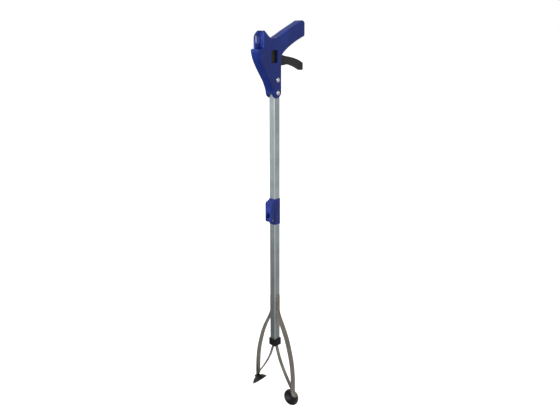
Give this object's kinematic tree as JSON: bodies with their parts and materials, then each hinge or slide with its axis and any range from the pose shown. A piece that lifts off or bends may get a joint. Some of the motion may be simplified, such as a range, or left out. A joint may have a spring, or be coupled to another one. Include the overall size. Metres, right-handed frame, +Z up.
{
  "type": "folding reacher grabber",
  "caption": "Long reaching tool with a squeeze-trigger handle, square tube with a fold hinge, and two spring-strip jaws with suction cups.",
  "frame": {"origin": "centre of the hanging eye in the handle's ear", "axes": "+Z up along the tube towards the handle, +X the way the grip points, Y the way the jaws open"},
  "size_m": [0.1345, 0.1352, 0.8448],
  "materials": {
    "blue_plastic": "satin moulded",
    "black_plastic": "fine texture",
    "tube_aluminium": "satin anodised",
    "rivet_aluminium": "bright",
    "steel": "plain",
    "spring_steel": "oiled spring steel",
    "cup_rubber": "smooth"
  },
  "bodies": {
    "handle": {"near_handle_shell": "blue_plastic", "far_handle_shell": "blue_plastic", "shell_screws": "steel", "handle_rivets": "rivet_aluminium", "trigger_pin": "steel", "upper_tube": "tube_aluminium", "upper_rod_guide": "black_plastic", "upper_hinge_block": "blue_plastic", "upper_hinge_rivet": "rivet_aluminium", "hinge_pin": "steel", "detent_spring": "steel"},
    "trigger": {"trigger": "black_plastic", "rod_pin": "steel"},
    "upper_rod": {"upper_pull_rod": "steel", "upper_ferrule": "steel", "fold_cable": "steel"},
    "lower_section": {"lower_hinge_block": "blue_plastic", "lower_hinge_rivet": "rivet_aluminium", "lower_tube": "tube_aluminium", "lower_rod_guide": "black_plastic", "end_cap": "black_plastic", "far_arm_root": "spring_steel", "near_arm_root": "spring_steel", "far_arm_rivets": "rivet_aluminium", "near_arm_rivets": "rivet_aluminium"},
    "lower_rod": {"lower_pull_rod": "steel", "lower_ferrule": "steel", "rod_fork": "black_plastic", "fork_pins": "steel"},
    "far_jaw": {"far_outer_arm": "spring_steel", "far_suction_cup": "cup_rubber", "far_cup_rivet": "rivet_aluminium"},
    "near_jaw": {"near_outer_arm": "spring_steel", "near_suction_cup": "cup_rubber", "near_cup_rivet": "rivet_aluminium"},
    "far_strip": {"far_inner_strip": "spring_steel"},
    "near_strip": {"near_inner_strip": "spring_steel"}
  },
  "joints": [
    {"name": "trigger_squeeze", "type": "hinge", "parent": "handle", "child": "trigger", "pos_m": [0.0074, 0, -0.033], "axis": [0, -1, 0], "range_deg": [0, 17.4], "stiffness_Nm_per_rad": 0.6, "springref_deg": -8.59},
    {"name": "fold", "type": "hinge", "parent": "handle", "child": "lower_section", "pos_m": [0.0339, 0, -0.376], "axis": [0, 1, 0], "range_deg": [0, 168], "deforming": ["detent_spring", "fold_cable"]},
    {"name": "upper_rod_lift", "type": "slide", "parent": "handle", "child": "upper_rod", "axis": [0, 0, 1], "range_m": [0, 0.0126]},
    {"name": "lower_rod_lift", "type": "slide", "parent": "lower_section", "child": "lower_rod", "axis": [0, 0, 1], "range_m": [0, 0.0126]},
    {"name": "far_jaw_close", "type": "hinge", "parent": "lower_section", "child": "far_jaw", "pos_m": [0.0484, 0.04, -0.66], "axis": [-1, 0, 0], "range_deg": [0, 18.6]},
    {"name": "near_jaw_close", "type": "hinge", "parent": "lower_section", "child": "near_jaw", "pos_m": [0.0484, -0.04, -0.66], "axis": [1, 0, 0], "range_deg": [0, 18.6]},
    {"name": "far_strip_swing", "type": "hinge", "parent": "lower_rod", "child": "far_strip", "pos_m": [0.0484, 0.0022, -0.6685], "axis": [-1, 0, 0], "range_deg": [0, 19]},
    {"name": "near_strip_swing", "type": "hinge", "parent": "lower_rod", "child": "near_strip", "pos_m": [0.0484, -0.0022, -0.6685], "axis": [1, 0, 0], "range_deg": [0, 19]}
  ],
  "couplings": [
    {"joint": "upper_rod_lift", "follows": "trigger_squeeze", "m_per_rad": 0.0413},
    {"joint": "lower_rod_lift", "follows": "trigger_squeeze", "m_per_rad": 0.0413},
    {"joint": "far_jaw_close", "follows": "trigger_squeeze", "ratio": 1.063},
    {"joint": "near_jaw_close", "follows": "trigger_squeeze", "ratio": 1.063},
    {"joint": "far_strip_swing", "follows": "trigger_squeeze", "ratio": 1.084},
    {"joint": "near_strip_swing", "follows": "trigger_squeeze", "ratio": 1.084}
  ]
}
